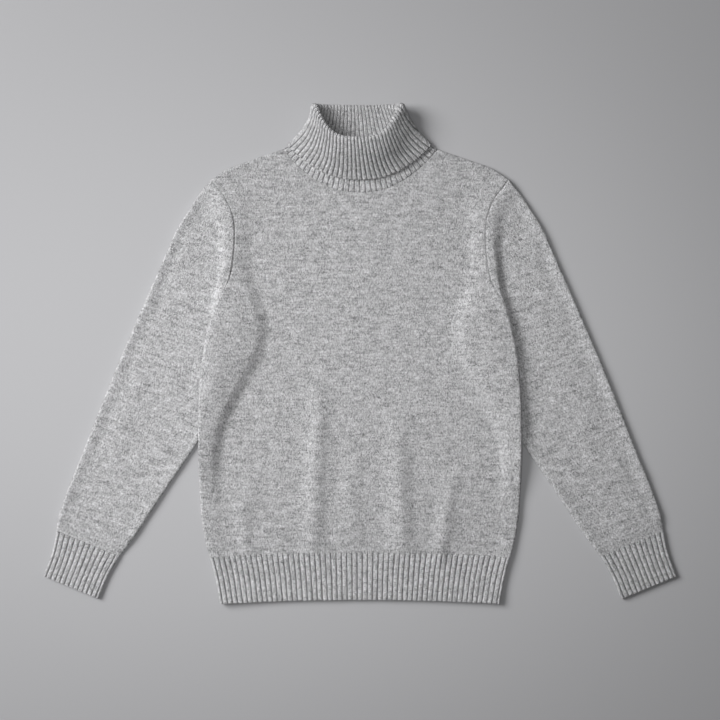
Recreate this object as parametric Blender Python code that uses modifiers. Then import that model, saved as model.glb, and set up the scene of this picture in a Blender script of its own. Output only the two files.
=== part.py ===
"""Turtleneck sweater laid flat: nine knitted pieces that meet at their seams.

Sizes and tables are in millimetres, and MM turns them into Blender's metres.
+X is across the body, +Y runs from the hem to the neck, +Z is up from the surface it lies on.
Every piece is an open skin with a Solidify modifier for its wall.
"""
import math

import bmesh
import bpy
import numpy as np

MM = 0.001
CENTRE_Y = 1.25         # the tables' heights are moved up by this, to centre the outline on the origin

# Knitted walls
JERSEY_WALL = 2.0
RIB_WALL = 2.4
JERSEY_STACK = 6.4      # front and back of the body or a sleeve, lying on each other
RIB_STACK = 7.0         # the same for the hem and the cuffs
SEAM_GAP = 0.3
LEAN_SHARE = 0.5        # share of the wall left in the corner of the underarm
SQUARE_RUN = 3.0        # both pieces run square to their seam for this far
NARROW_RUN = 0.8        # the same down the armhole, where the sleeve soon turns away
NARROW_SHARE = 0.6      # share of the armhole seam at which the run has become this narrow
UNDERARM_SWING = 1.1    # how far this run swings down along the sleeve's inner edge at the underarm
SWING_SHARE = 0.8       # share of the armhole seam at which the swing starts
FOLD_REACH = 4.0        # how far a folded edge curves in from the outline
FOLD = [
    # reach (share of FOLD_REACH in from the outline), rise (share of the half stack), from flat to seam
    (0.30, 0.81),
    (0.00, 0.50),
]
UNDERARM_FOLD = [
    # the same where the sleeve's long fold at the underarm is nearly level
    (0.30, 0.93),
    (0.00, 0.64),
]

# Body outline: half width at each height, up to the underarm
SIDE = [
    # height, half_width
    (-319.0, 232.5),
    (-300.0, 237.5),
    (-275.0, 242.5),
    (-245.0, 246.5),
    (-180.0, 249.0),
    (-120.0, 249.5),
    (-60.0, 248.0),
    (0.0, 242.0),
    (45.0, 233.0),
    (82.0, 221.0),
]
ROW_HEIGHTS = (-319.0, -270.0, -205.0, -174.0, -143.0, -104.0, -60.0, -18.0, 26.0, 65.0)

# Armhole seam, from the shoulder tip down to the underarm
ARMHOLE = [
    # half_width, height
    (230.0, 269.0),
    (221.0, 255.5),
    (209.0, 241.0),
    (197.0, 212.0),
    (194.5, 180.0),
    (197.5, 140.0),
    (203.0, 113.0),
    (211.0, 97.0),
    (221.0, 82.0),
]
ARMHOLE_STEPS = (0.13, 0.27, 0.42, 0.57, 0.71, 0.82)
SHOULDER_MITRE = 4.5    # length of seam over which the cloth folds down at the shoulder tip
UNDERARM_MITRE = 18.0   # the same at the underarm, where body and sleeve lie side by side

# Shoulder seam, from the neck to the shoulder tip
SHOULDER = [
    # half_width, height
    (120.0, 316.0),
    (172.0, 298.0),
    (206.0, 285.0),
    (230.0, 269.0),
]
SHOULDER_STEPS = (0.33, 0.62)
SHOULDER_INWARD = (-0.38, -0.92)    # heading from the shoulder's outline in to where it is flat

# Neckline
NECK_HALF = 120.0
NECK_SIDE_Y = 316.0
FRONT_NECK_DROP = 67.0
BACK_NECK_DROP = 15.0
NECK_CURVE = 2.2
NECK_STEPS = (0.0, 0.25, 0.48, 0.68, 0.85)
NECK_MITRE = 7.0

# The body's margins lie over the sleeves, and step down to a lower middle
MARGIN = [
    # height, shelf (inner end of the raised margin), foot (where the panel is down)
    (-387.0, 214.0, 190.0),
    (-319.0, 224.0, 202.0),
    (-205.0, 236.0, 212.0),
    (-150.0, 233.0, 209.0),
    (-118.0, 226.0, 202.0),
    (-64.0, 205.0, 179.0),
    (-30.0, 189.0, 162.0),
    (0.0, 174.0, 147.0),
    (40.0, 166.0, 138.0),
    (100.0, 172.0, 144.0),
    (150.0, 178.0, 152.0),
    (215.0, 181.0, 156.0),
    (270.0, 192.0, 160.0),
    (300.0, 180.0, 150.0),
]
MARGIN_KEEP = 5.0       # the shelf stays this far inside the flat edge
MARGIN_LIFT = [
    # height, lift (of the underside)
    (-205.0, 0.0),
    (-143.0, 10.0),
    (5.0, 10.0),
    (48.0, 7.0),
    (110.0, 7.0),
    (165.0, 7.6),
    (215.0, 5.6),
    (269.0, 2.6),
    (300.0, 1.2),
]
MARGIN_PUFF = [
    # height, puff (of the front over the back)
    (-387.0, 0.6),
    (-319.0, 1.0),
    (-290.0, 1.5),
    (-205.0, 1.5),
    (-143.0, 0.0),
]

# Joint of the jersey and the hem rib, and the hem's lower edge
JOINT_CENTRE_Y = -308.5
JOINT_DROP = 7.5
JOINT_CURVE = 3.3
HEM_CENTRE_Y = -381.0
HEM_DROP = 6.0
HEM_SIDE = [
    # height, half_width
    (-387.0, 217.0),
    (-351.0, 224.0),
    (-319.0, 232.5),
]
HEM_SHARES = (0.0, 0.5, 1.0)

# Sleeve outlines, for the +X side
SLEEVE_OUTER = [
    # across, height
    (230.0, 269.0),
    (250.0, 245.0),
    (267.0, 219.0),
    (283.0, 193.0),
    (300.0, 155.0),
    (348.0, 46.0),
    (390.0, -54.0),
    (429.0, -153.0),
    (449.0, -202.0),
    (466.0, -250.0),
    (470.0, -274.0),
]
SLEEVE_INNER = [
    # across, height (it tucks under the body and comes out again)
    (221.0, 82.0),
    (229.4, 65.0),
    (235.5, 48.0),
    (230.0, 34.0),
    (212.0, 20.0),
    (197.0, 3.0),
    (192.0, -20.0),
    (203.0, -52.0),
    (220.0, -86.0),
    (250.0, -136.0),
    (312.0, -228.0),
    (344.0, -277.0),
    (372.0, -314.0),
]
SLEEVE_RINGS = [
    # share of the outer line, share of the inner line
    (0.020, 0.016),
    (0.050, 0.034),
    (0.095, 0.055),
    (0.160, 0.080),
    (0.250, 0.102),
    (0.340, 0.130),
    (0.420, 0.172),
    (0.490, 0.225),
    (0.550, 0.300),
    (0.630, 0.420),
    (0.730, 0.575),
    (0.860, 0.780),
    (1.000, 1.000),
]
UNDERARM_REACH = 0.05   # share of the inner line over which the underarm's long fold becomes a plain one
ARMHOLE_REACH = 0.25    # share of the outer line over which the rings keep some of the armhole's curve
OUTER_PUFF = 1.2        # the outer fold stands a little proud of the middle
OUTER_PUFF_REACH = 26.0

# Crease where the sleeve drops away from the armhole and the body's margin
CREASE = [
    # height, across, run (length of the drop)
    (40.0, 236.0, 20.0),
    (82.0, 223.0, 20.0),
    (100.0, 221.5, 20.0),
    (150.0, 219.0, 22.0),
    (200.0, 217.0, 28.0),
    (240.0, 226.0, 40.0),
    (269.0, 242.0, 50.0),
]
CREASE_LEAD = 3.0       # the drop starts this far before the crease
TUCK_TOP = 78.0         # between these heights the sleeve's inner edge goes down under the body
TUCK_FOOT = 46.0

# Cuffs, for the +X side
CUFF_OUTER = [(470.0, -274.0), (477.5, -309.0), (490.5, -344.0)]
CUFF_INNER = [(372.0, -314.0), (390.0, -346.0), (404.0, -380.0)]
CUFF_RINGS = 4
CUFF_FLATS = (0.0, 0.25, 0.5, 0.75, 1.0)

# Collar: the stand's middle surface from the neckline to the top, and how far the turned-down flap is from it
STAND = [
    # along, half_width, side_y, side_z, front_y, front_z, back_y, back_z, squareness, flap_offset
    (0.00, 118.5, 316.0, 3.7, 249.6, 5.30, 301.6, 1.60, 60.0, 4.4),
    (0.07, 114.5, 319.0, 3.8, 255.0, 5.35, 306.5, 1.65, 44.0, 4.4),
    (0.24, 106.5, 325.0, 8.0, 270.0, 11.0, 323.0, 6.00, 18.0, 4.4),
    (0.50, 90.0, 343.5, 11.5, 292.0, 19.5, 344.0, 6.70, 6.0, 4.9),
    (0.76, 75.0, 361.5, 18.0, 312.5, 30.5, 364.0, 7.60, 4.0, 5.8),
    (1.00, 65.8, 376.8, 23.0, 330.0, 37.0, 379.0, 9.30, 3.0, 7.4),
]
STAND_STEPS = (0.0, 0.07, 0.155, 0.24, 0.37, 0.50, 0.67, 0.84, 1.0)
FLAP_STEPS = (1.0, 0.84, 0.67, 0.50, 0.37, 0.24)
RIM_STEPS = 4
LOOP_STEPS = (0.0, 0.22, 0.44, 0.64, 0.80, 0.92, 0.98)

MATERIALS = {
    # slot: linear colour, roughness
    "jersey_knit": ((0.43, 0.43, 0.44, 1.0), 0.92),
    "rib_knit": ((0.38, 0.38, 0.39, 1.0), 0.92),
}

HEADING_STEP = 0.01     # share of a line's length to each side of a point for its heading


def table(rows, key, column=1):
    """Value of a table's column at key, between its rows."""
    return float(np.interp(key, [row[0] for row in rows], [row[column] for row in rows]))


def smooth(share):
    share = min(max(share, 0.0), 1.0)
    return share * share * (3.0 - 2.0 * share)


def mix(first, second, share):
    return first + (second - first) * share


def curve_through(points, steps=12):
    """Even-speed Catmull-Rom curve through the points, as a dense polyline."""
    pts = [np.array(p, dtype=float) for p in points]
    pts = [2 * pts[0] - pts[1]] + pts + [2 * pts[-1] - pts[-2]]
    dense = []
    for a, b, c, d in zip(pts, pts[1:], pts[2:], pts[3:]):
        for step in range(steps):
            t = step / steps
            tangent_b = (c - a) * np.linalg.norm(c - b) / (np.linalg.norm(c - b) + np.linalg.norm(b - a))
            tangent_c = (d - b) * np.linalg.norm(c - b) / (np.linalg.norm(d - c) + np.linalg.norm(c - b))
            h = (2 * t**3 - 3 * t**2 + 1, t**3 - 2 * t**2 + t, -2 * t**3 + 3 * t**2, t**3 - t**2)
            dense.append(h[0] * b + h[1] * tangent_b + h[2] * c + h[3] * tangent_c)
    dense.append(pts[-2])
    return np.array(dense)


def length_of(line):
    return float(np.sum(np.linalg.norm(np.diff(line, axis=0), axis=1)))


def along(line, share):
    """Point at a share of a polyline's length."""
    reach = np.concatenate([[0.0], np.cumsum(np.linalg.norm(np.diff(line, axis=0), axis=1))])
    place = share * reach[-1]
    return np.array([np.interp(place, reach, line[:, axis]) for axis in range(line.shape[1])])


ARMHOLE_LINE = curve_through(ARMHOLE)
SHOULDER_LINE = curve_through(SHOULDER)
OUTER_LINE = curve_through(SLEEVE_OUTER)
INNER_LINE = curve_through(SLEEVE_INNER)
CUFF_OUTER_LINE = curve_through(CUFF_OUTER)
CUFF_INNER_LINE = curve_through(CUFF_INNER)
SIDE_LINE = curve_through([(half, height) for height, half in SIDE])


def side_half(height):
    """Half width of the body's outline at a height up to the underarm."""
    return float(np.interp(height, SIDE_LINE[:, 1], SIDE_LINE[:, 0]))


def armhole_shares():
    """Shares of the armhole seam: the flat stretch, without its folded ends."""
    whole = length_of(ARMHOLE_LINE)
    return (SHOULDER_MITRE / whole,) + ARMHOLE_STEPS + (1.0 - UNDERARM_MITRE / whole,)


def neck_y(across, drop):
    share = min(abs(across) / NECK_HALF, 1.0)
    return NECK_SIDE_Y - drop * (1.0 - share**NECK_CURVE)


def neck_flat_end():
    return NECK_HALF - NECK_MITRE


def margin_lift(height):
    return table(MARGIN_LIFT, height)


def margin_puff(height):
    return table(MARGIN_PUFF, height)


def body_level(across, height):
    """Lift of the underside and puff of the front at a point of the body."""
    shelf = table(MARGIN, height, 1)
    foot = table(MARGIN, height, 2)
    share = min(max((abs(across) - foot) / (shelf - foot), 0.0), 1.0)
    return margin_lift(height) * share, margin_puff(height) * share


def fold_profile(low, high, front):
    """Upper or lower quarter of a folded edge: (share in from the outline, z) from flat to seam."""
    middle = (low + high) / 2.0
    end = high if front else low
    sign = 1.0 if front else -1.0
    steps = [(reach, middle + (end - middle) * rise) for reach, rise in FOLD]
    steps.append((0.0, middle + sign * SEAM_GAP / 2.0))
    return steps


def level_at(across, height, stack):
    """Heights of the underside and of the top of the stack at a point of the body."""
    lift, puff = body_level(across, height)
    return lift, lift + stack + puff


def skin_z(across, height, stack, front):
    low, high = level_at(across, height, stack)
    return high if front else low


def mesh_object(name, verts, faces, wall, material, offset=-1.0, lean=()):
    """Object from points in millimetres, with its wall made inward from the skin.

    lean lists the points where the wall is LEAN_SHARE as thick, in the corner of the underarm.
    """
    mesh = bpy.data.meshes.new(name)
    mesh.from_pydata([(x * MM, (y + CENTRE_Y) * MM, z * MM) for x, y, z in verts], [], faces)
    mesh.update()
    work = bmesh.new()
    work.from_mesh(mesh)
    bmesh.ops.triangulate(work, faces=work.faces[:], quad_method="SHORT_EDGE")
    work.to_mesh(mesh)
    work.free()
    mesh.shade_smooth()
    item = bpy.data.objects.new(name, mesh)
    mesh.materials.append(material)
    shell = item.modifiers.new("wall", "SOLIDIFY")
    shell.thickness = wall * MM
    shell.offset = offset
    shell.use_rim = True
    if lean:
        group = item.vertex_groups.new(name="wall")
        group.add(list(range(len(verts))), 1.0, "REPLACE")
        group.add(list(lean), LEAN_SHARE, "REPLACE")
        shell.vertex_group = group.name
    return item


class Skin:
    """Open skin that is put together from strips of points and shares the points between them."""

    def __init__(self):
        self.verts = []
        self.faces = []

    def row(self, points):
        start = len(self.verts)
        self.verts.extend(points)
        return list(range(start, start + len(points)))

    def strip(self, first, second, flip=False, closed=False):
        count = len(first)
        last = count if closed else count - 1
        for i in range(last):
            j = (i + 1) % count
            quad = (first[i], first[j], second[j], second[i])
            self.faces.append(tuple(reversed(quad)) if flip else quad)


def half_columns(row_share, side_x, side_y, bottom, top):
    """Plan points of one row of a panel's +X half, from the flat edge in to the centre line."""
    points = [np.array([side_x, side_y])]
    for index in range(1, len(bottom)):
        height = mix(bottom[index][1], top[index][1], row_share)
        if index == 1:
            across = min(table(MARGIN, height, 1), side_x - MARGIN_KEEP)
        else:
            inward = mix(bottom[index][0] / bottom[2][0], top[index][0] / top[2][0], row_share)
            across = table(MARGIN, height, 2) * inward
        points.append(np.array([across, height]))
    return points


def panel_top(drop):
    """Plan points of a panel's top edge, +X half, from the shoulder tip to the neckline's centre."""
    tip = along(ARMHOLE_LINE, armhole_shares()[0])
    corner_x = neck_flat_end()
    corner = np.array([corner_x, neck_y(corner_x, drop)])
    points = [tip]
    for share in reversed(SHOULDER_STEPS):
        place = along(SHOULDER_LINE, share)
        points.append(place + np.array(SHOULDER_INWARD) * FOLD_REACH)
    points.append(corner)
    for share in reversed(NECK_STEPS):
        across = corner_x * share
        points.append(np.array([across, neck_y(across, drop)]))
    return points


def moved(points, distance):
    """Plan points moved up by a distance."""
    return [point + np.array([0.0, distance]) for point in points]


def joint_y(across):
    share = min(abs(across) / SIDE[0][1], 1.0)
    return JOINT_CENTRE_Y - JOINT_DROP * share**JOINT_CURVE


def panel_bottom(top):
    """Plan points of the joint with the hem rib, +X half, one for each point of the top edge."""
    side = SIDE[0][1] - FOLD_REACH
    shelf = table(MARGIN, SIDE[0][0], 1)
    foot = table(MARGIN, SIDE[0][0], 2)
    inner = len(top) - 3
    across = [side, shelf] + [foot * (inner - i) / inner for i in range(inner + 1)]
    return [np.array([x, joint_y(x)]) for x in across]


def mirrored(points):
    """Whole row from its +X half, which runs from the edge to the centre line."""
    left = [np.array([-p[0]] + list(p[1:])) for p in points[:-1]]
    return left + list(reversed(points))


def body_panel(name, front, material):
    """Front or back: a grid from the hem joint to the shoulders, with folded sides and shoulders."""
    drop = FRONT_NECK_DROP if front else BACK_NECK_DROP
    top = panel_top(drop)
    bottom = panel_bottom(top)
    sides = [np.array([side_half(h) - FOLD_REACH, h]) for h in ROW_HEIGHTS]
    sides += [along(ARMHOLE_LINE, share) for share in reversed(armhole_shares())]
    halves = [moved(bottom, SEAM_GAP / 2.0), moved(bottom, SQUARE_RUN)]
    for side_x, side_y in sides[1:-1]:
        share = (side_y - sides[0][1]) / (sides[-1][1] - sides[0][1])
        halves.append(half_columns(share, side_x, side_y, bottom, top))
    halves.append(top)
    skin = Skin()
    rows = []
    for half in halves:
        points = []
        for x, y in mirrored(half):
            points.append((x, y, skin_z(x, y, JERSEY_STACK, front)))
        rows.append(skin.row(points))
    for lower, upper in zip(rows, rows[1:]):
        skin.strip(lower, upper, flip=not front)
    fold_sides(skin, rows, front)
    fold_shoulders(skin, rows[-1], drop, front)
    return mesh_object(name, skin.verts, skin.faces, JERSEY_WALL, material)


def fold_sides(skin, rows, front):
    """Folded side edges from the hem joint to the underarm, where they end in the armhole seam."""
    whole = length_of(ARMHOLE_LINE)
    for sign in (-1.0, 1.0):
        column = 0 if sign < 0 else -1
        previous = None
        flat_rows = len(ROW_HEIGHTS) + 1
        for index in range(flat_rows + 1):
            ids = [rows[index][column]]
            x, y = skin.verts[ids[0]][:2]
            low, high = level_at(x, y, JERSEY_STACK)
            outline = SIDE[0][1] if index < 2 else side_half(y)
            for reach, height_z in fold_profile(low, high, front):
                place = (sign * (outline - FOLD_REACH * reach), y, height_z)
                if index == flat_rows:
                    point = along(ARMHOLE_LINE, 1.0 - UNDERARM_MITRE * reach / whole)
                    place = (sign * point[0], point[1], height_z)
                ids += skin.row([place])
            if previous:
                skin.strip(previous, ids, flip=(sign < 0) == front)
            previous = ids


def fold_shoulders(skin, top_row, drop, front):
    """Folded shoulder edges from the neck corner to the armhole seam."""
    count = len(top_row)
    ends = len(SHOULDER_STEPS) + 2
    whole = length_of(ARMHOLE_LINE)
    for sign in (-1.0, 1.0):
        previous = None
        for index in range(ends):
            ids = [top_row[index] if sign < 0 else top_row[count - 1 - index]]
            x, y = skin.verts[ids[0]][:2]
            low, high = level_at(x, y, JERSEY_STACK)
            for reach, height_z in fold_profile(low, high, front):
                if index == 0:
                    point = along(ARMHOLE_LINE, SHOULDER_MITRE * reach / whole)
                elif index == ends - 1:
                    across = NECK_HALF - NECK_MITRE * reach
                    point = np.array([across, neck_y(across, drop)])
                else:
                    outline = along(SHOULDER_LINE, SHOULDER_STEPS[len(SHOULDER_STEPS) - index])
                    point = mix(outline, np.array([abs(x), y]), reach)
                ids += skin.row([(sign * point[0], point[1], height_z)])
            if previous:
                skin.strip(previous, ids, flip=(sign > 0) != front)
            previous = ids


def hem_panel(name, front, material):
    """Front or back hem rib, from the joint to the lower edge, with folded sides."""
    top = mirrored(panel_bottom(panel_top(FRONT_NECK_DROP)))
    skin = Skin()
    rows = []
    for share in HEM_SHARES:
        half = table(HEM_SIDE, mix(SIDE[0][0], HEM_CENTRE_Y - HEM_DROP, share))
        points = []
        for x, y in top:
            across = x * (half - FOLD_REACH) / (SIDE[0][1] - FOLD_REACH)
            low_y = HEM_CENTRE_Y - HEM_DROP * (across / HEM_SIDE[0][1]) ** 2
            height = mix(y - SEAM_GAP / 2.0, low_y, share)
            points.append((across, height, skin_z(across, height, RIB_STACK, front)))
        if share == 0.0:
            run = [(x, y - SQUARE_RUN, z) for x, y, z in points]
            rows += [(skin.row(points), half), (skin.row(run), half)]
        else:
            rows.append((skin.row(points), half))
    for (upper, upper_half), (lower, lower_half) in zip(rows, rows[1:]):
        skin.strip(lower, upper, flip=not front)
    for sign in (-1.0, 1.0):
        previous = None
        for ids_row, half in rows:
            ids = [ids_row[0 if sign < 0 else -1]]
            x, y = skin.verts[ids[0]][:2]
            low, high = level_at(x, y, RIB_STACK)
            for reach, height_z in fold_profile(low, high, front):
                ids += skin.row([(sign * (half - FOLD_REACH * reach), y, height_z)])
            if previous:
                skin.strip(previous, ids, flip=(sign > 0) == front)
            previous = ids
    return mesh_object(name, skin.verts, skin.faces, RIB_WALL, material)


def sleeve_level(across, height):
    """Lift of the sleeve's underside: it starts at the body's level and drops at the crease."""
    start = table(CREASE, height, 1) - CREASE_LEAD
    drop = smooth((across - start) / table(CREASE, height, 2))
    tuck = smooth((height - TUCK_FOOT) / (TUCK_TOP - TUCK_FOOT))
    return margin_lift(height) * (1.0 - drop) * tuck


def ring_z(low, high, rise):
    middle = (low + high) / 2.0
    return middle + (high - middle) * rise


def line_heading(line, share):
    """Unit heading of a line at a share of its length."""
    step = along(line, min(share + HEADING_STEP, 1.0)) - along(line, max(share - HEADING_STEP, 0.0))
    return step / np.linalg.norm(step)


def line_normal(line, share):
    """Unit normal of a line at a share of its length, to the left of its course."""
    heading = line_heading(line, share)
    return np.array([-heading[1], heading[0]])


def tube_ring(outer, outer_in, inner, inner_in, flats):
    """Front half of a flat tube's ring, outer to inner: plan points, rises and places across.

    outer_in and inner_in go from the outline to where the fold is flat.
    """
    outer_flat = outer + outer_in
    inner_flat = inner + inner_in
    ring = [(mix(outer, outer_flat, reach), rise, 0.0) for reach, rise in reversed(FOLD)]
    ring += [(mix(outer_flat, inner_flat, place), 1.0, place) for place in flats]
    ring += [(mix(inner, inner_flat, reach), rise, 1.0) for reach, rise in FOLD]
    return ring


def armhole_ring(distance):
    """Ring along the armhole seam, at a distance from it."""
    whole = length_of(ARMHOLE_LINE)
    places = [(SHOULDER_MITRE * reach / whole, rise) for reach, rise in reversed(FOLD)]
    places += [(share, 1.0) for share in armhole_shares()]
    places += [(1.0 - UNDERARM_MITRE * reach / whole, rise) for reach, rise in UNDERARM_FOLD]
    ring = []
    down = line_heading(INNER_LINE, 0.0)
    for share, rise in places:
        narrowed = mix(distance, min(distance, NARROW_RUN), smooth(share / NARROW_SHARE))
        swing = UNDERARM_SWING * smooth((share - SWING_SHARE) / (1.0 - SWING_SHARE))
        away = line_normal(ARMHOLE_LINE, share) * narrowed + down * (distance - SEAM_GAP) * swing
        ring.append((along(ARMHOLE_LINE, share) + away, rise, share))
    return ring


def sleeve_ring(outer_share, inner_share):
    """A later ring of the +X sleeve: it keeps some of the armhole's curve, and then runs straight across."""
    outer = along(OUTER_LINE, outer_share)
    inner = along(INNER_LINE, inner_share)
    rung = float(np.linalg.norm(inner - outer))
    seam = armhole_shares()
    puffed = OUTER_PUFF_REACH / rung
    flats = [0.0]
    for index in range(1, len(seam) - 1):
        even = mix(puffed, 1.0 - puffed / 2.0, (index - 1) / (len(seam) - 3))
        flats.append(mix(seam[index], even, smooth(outer_share / ARMHOLE_REACH)))
    flats.append(1.0)
    outer_in = -line_normal(OUTER_LINE, outer_share) * FOLD_REACH
    inner_in = line_normal(INNER_LINE, inner_share)
    turned = min(inner_share / UNDERARM_REACH, 1.0)
    mitre = along(ARMHOLE_LINE, seam[-1]) - ARMHOLE_LINE[-1]
    heading = mix(math.atan2(mitre[1], mitre[0]), math.atan2(inner_in[1], inner_in[0]), turned)
    inner_in = np.array([math.cos(heading), math.sin(heading)]) * mix(UNDERARM_MITRE, FOLD_REACH, turned)
    if outer_share == 1.0:
        outer_in = (inner - outer) / rung * FOLD_REACH
        inner_in = -outer_in
    bulge = (1.0 - min(outer_share / ARMHOLE_REACH, 1.0)) ** 2
    ring = []
    tube = tube_ring(outer, outer_in, inner, inner_in, flats)
    for index, row in enumerate(UNDERARM_FOLD):
        plan, rise, place = tube[index - 2]
        tube[index - 2] = (plan, mix(row[1], rise, turned), place)
    for plan, rise, place in tube:
        curve = along(ARMHOLE_LINE, place) - mix(ARMHOLE_LINE[0], ARMHOLE_LINE[-1], place)
        ring.append((plan + curve * bulge, rise, place))
    return ring


def closed_ring(front, sign, heights):
    """Points of a whole ring from its front half; heights gives (low, high) at a plan point and place."""
    points = []
    for plan, rise, place in front + [(plan, -rise, place) for plan, rise, place in reversed(front)]:
        low, high = heights(plan, place)
        points.append((sign * plan[0], plan[1], ring_z(low, high, rise)))
    return points


def moved_ring(ring, distance):
    """Ring at the cuff joint, moved along the sleeve."""
    across = INNER_LINE[-1] - OUTER_LINE[-1]
    across /= np.linalg.norm(across)
    away = np.array([-across[1], across[0]]) * distance
    return [(plan + away, rise, place) for plan, rise, place in ring]


def sleeve(name, sign, material):
    """Sleeve: rings from the armhole seam to the cuff."""
    skin = Skin()
    rings = []
    plans = [(0.0, armhole_ring(SEAM_GAP)), (0.0, armhole_ring(SQUARE_RUN))]
    plans += [(row[0], sleeve_ring(row[0], row[1])) for row in SLEEVE_RINGS]
    end = plans.pop()[1]
    plans += [(1.0, moved_ring(end, -SQUARE_RUN)), (1.0, moved_ring(end, -SEAM_GAP / 2.0))]
    for outer_share, ring in plans:
        rung = np.linalg.norm(ring[-1][0] - ring[0][0])
        puff_here = OUTER_PUFF * smooth(outer_share / 0.12) * smooth((1.0 - outer_share) / 0.06)

        def heights(plan, place):
            low = sleeve_level(plan[0], plan[1])
            puff = puff_here * max(0.0, 1.0 - place * rung / OUTER_PUFF_REACH)
            return low, low + JERSEY_STACK + puff

        rings.append(skin.row(closed_ring(ring, sign, heights)))
    for first, second in zip(rings, rings[1:]):
        skin.strip(first, second, flip=sign < 0, closed=True)
    lip = len(rings[0]) // 2
    lean = [ring[lip - 1] for ring in rings[:3]] + [ring[lip] for ring in rings[:3]]
    return mesh_object(name, skin.verts, skin.faces, JERSEY_WALL, material, lean=lean)


def cuff_heights(plan, place):
    return 0.0, RIB_STACK


def cuff(name, sign, material):
    """Cuff: a flat rib tube on the end of the sleeve."""
    skin = Skin()
    rings = []
    for index in range(CUFF_RINGS):
        share = index / (CUFF_RINGS - 1)
        outer = along(CUFF_OUTER_LINE, share)
        inner = along(CUFF_INNER_LINE, share)
        across = (inner - outer) / np.linalg.norm(inner - outer)
        fold = across * FOLD_REACH
        ring = tube_ring(outer, fold, inner, -fold, CUFF_FLATS)
        plans = [ring]
        if index == 0:
            plans = [moved_ring(ring, SEAM_GAP / 2.0), moved_ring(ring, SQUARE_RUN)]
        for plan in plans:
            rings.append(skin.row(closed_ring(plan, sign, cuff_heights)))
    for first, second in zip(rings, rings[1:]):
        skin.strip(first, second, flip=sign < 0, closed=True)
    return mesh_object(name, skin.verts, skin.faces, RIB_WALL, material)


def stand_point(along_share, turn_sign, across_share, front):
    """Point on the stand's middle surface."""
    half, side_y, side_z, front_y, front_z, back_y, back_z, square = [
        table(STAND, along_share, column) for column in range(1, 9)
    ]
    end_y = front_y if front else back_y
    end_z = front_z if front else back_z
    x = half * across_share
    y = side_y + (end_y - side_y) * (1.0 - across_share**NECK_CURVE)
    z = side_z + (end_z - side_z) * math.sqrt(max(1.0 - across_share**square, 0.0))
    return np.array([turn_sign * x, y, z])


def loop_keys():
    """The collar's columns: sign, share across and layer, once round from the front centre line."""
    quarter = [(1.0, share, True) for share in LOOP_STEPS] + [(1.0, 1.0, True)]
    keys = quarter + [(1.0, share, False) for share in reversed(LOOP_STEPS)]
    return keys + [(-sign, share, layer) for sign, share, layer in reversed(keys[1:-1])]


def collar(name, material):
    """Collar: a stand that rises from the neckline, a rolled rim, and a flap turned down outside it."""
    keys = loop_keys()
    loops = [[stand_point(share, *key) for key in keys] for share in STAND_STEPS]
    normals, ups = loop_frames(loops)
    rings = list(loops)
    radius = STAND[-1][9] / 2.0
    for step in range(1, RIM_STEPS):
        turn = math.pi * step / RIM_STEPS
        out = radius * (1.0 - math.cos(turn))
        up = radius * math.sin(turn)
        rings.append([p + n * out + u * up for p, n, u in zip(loops[-1], normals[-1], ups[-1])])
    for share in FLAP_STEPS:
        level = STAND_STEPS.index(share)
        offset = table(STAND, share, 9)
        rings.append([p + n * offset for p, n in zip(loops[level], normals[level])])
    skin = Skin()
    rows = [skin.row([tuple(point) for point in ring]) for ring in rings]
    for first, second in zip(rows, rows[1:]):
        skin.strip(first, second, closed=True)
    return mesh_object(name, skin.verts, skin.faces, RIB_WALL, material, offset=0.0)


def loop_frames(loops):
    """Outward normals and upward tangents of a stack of loops."""
    grid = np.array(loops)
    rows, columns, axes = grid.shape
    normals = np.zeros_like(grid)
    ups = np.zeros_like(grid)
    for i in range(rows):
        for j in range(columns):
            up = grid[min(i + 1, rows - 1), j] - grid[max(i - 1, 0), j]
            round_ = grid[i, (j + 1) % columns] - grid[i, (j - 1) % columns]
            normal = np.cross(round_, up)
            normals[i, j] = normal / np.linalg.norm(normal)
            ups[i, j] = up / np.linalg.norm(up)
    return normals, ups


def knit_material(name):
    colour, roughness = MATERIALS[name]
    material = bpy.data.materials.new(name)
    material.use_nodes = True
    shader = material.node_tree.nodes["Principled BSDF"]
    shader.inputs["Base Color"].default_value = colour
    shader.inputs["Roughness"].default_value = roughness
    shader.inputs["Metallic"].default_value = 0.0
    material.diffuse_color = colour
    return material


def main():
    for old in list(bpy.data.objects):
        bpy.data.objects.remove(old, do_unlink=True)
    jersey = knit_material("jersey_knit")
    rib = knit_material("rib_knit")
    pieces = [
        body_panel("front_panel", True, jersey),
        body_panel("back_panel", False, jersey),
        hem_panel("hem_rib_front", True, rib),
        hem_panel("hem_rib_back", False, rib),
        sleeve("sleeve_left", -1.0, jersey),
        sleeve("sleeve_right", 1.0, jersey),
        cuff("cuff_left", -1.0, rib),
        cuff("cuff_right", 1.0, rib),
        collar("collar", rib),
    ]
    garment = bpy.data.collections.new("turtleneck_sweater")
    bpy.context.scene.collection.children.link(garment)
    for piece in pieces:
        garment.objects.link(piece)


main()
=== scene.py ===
"""Looks of the laid-out turtleneck sweater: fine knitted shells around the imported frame."""
import math

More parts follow.
